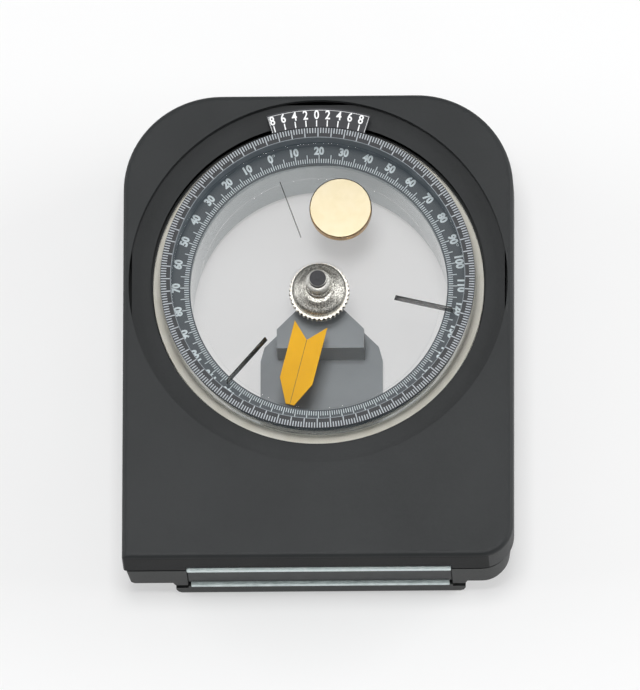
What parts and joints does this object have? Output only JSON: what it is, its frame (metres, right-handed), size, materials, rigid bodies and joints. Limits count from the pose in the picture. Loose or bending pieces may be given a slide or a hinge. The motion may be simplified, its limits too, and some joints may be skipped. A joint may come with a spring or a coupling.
{
  "type": "inclinometer",
  "caption": "Hand inclinometer: flat black case with magnetic base, hand-turned clear dial with degree scales and vernier, and a free-swinging weighted pointer.",
  "frame": {"origin": "bottom centre of the whole: the plane that the raised back rests on, midway between the pole plates' faces and the case's top", "axes": "+Z out of the dial, +Y to the top of the case, -Y out of the magnetic base, +X to the right as one reads the dial"},
  "size_m": [0.1, 0.1244, 0.0351],
  "materials": {
    "black_plastic": "fine moulded texture",
    "rear_plastic": "fine moulded texture",
    "clear_pane": "clear moulded acrylic",
    "clear_sleeve": "clear acrylic tube, polished",
    "ring_plastic": "smooth moulded",
    "vernier_print": "printed plate",
    "bridge_casting": "satin grey paint on a die casting",
    "zinc_screws": "zinc plated",
    "dark_steel": "blackened",
    "zinc_nut": "zinc plated",
    "zinc_washer": "zinc plated",
    "zinc_case_screws": "zinc plated",
    "ferrite": "sintered ferrite, ground",
    "pole_steel": "bright zinc plate",
    "pole_steel_lower": "bright zinc plate",
    "spring_steel": "spring temper",
    "nylon": "natural nylon",
    "clear_lens": "clear moulded acrylic",
    "scale_black": "printed, satin",
    "scale_grey": "printed, satin",
    "nickel": "satin nickel plate",
    "rim_plate": "bright plated, straight knurl",
    "bearing_steel": "ground",
    "clear_disc": "clear acrylic sheet",
    "polished_brass": "polished",
    "brass_pin": "turned",
    "yellow_paint": "golden yellow paint"
  },
  "bodies": {
    "case": {"front_shell": "black_plastic", "rear_shell": "rear_plastic", "rear_window": "clear_pane", "window_ring": "ring_plastic", "chamber_sleeve": "clear_sleeve", "vernier_plate": "vernier_print", "bearing_bridge": "bridge_casting", "bridge_screws": "zinc_screws", "spindle": "dark_steel", "spindle_nut": "zinc_nut", "spacer_washer": "zinc_washer", "case_screws": "zinc_case_screws", "magnet": "ferrite", "upper_pole": "pole_steel", "lower_pole": "pole_steel_lower", "wave_spring": "spring_steel", "slip_ring": "nylon"},
    "dial": {"dial_lens": "clear_lens", "tick_ring": "scale_black", "number_ring": "scale_grey"},
    "rotor": {"rotor_hub": "nickel", "hub_rim": "rim_plate", "rotor_bearings": "bearing_steel", "rotor_disc": "clear_disc", "brass_weight": "polished_brass", "weight_pin": "brass_pin", "pointer_arrow": "yellow_paint"}
  },
  "joints": [
    {"name": "dial_turn", "type": "hinge", "parent": "case", "child": "dial", "pos_m": [0, 0.01215, 0.0342], "axis": [0, 0, 1], "continuous": true},
    {"name": "rotor_swing", "type": "hinge", "parent": "case", "child": "rotor", "pos_m": [0, 0.01215, 0.021], "axis": [0, 0, 1], "continuous": true}
  ]
}
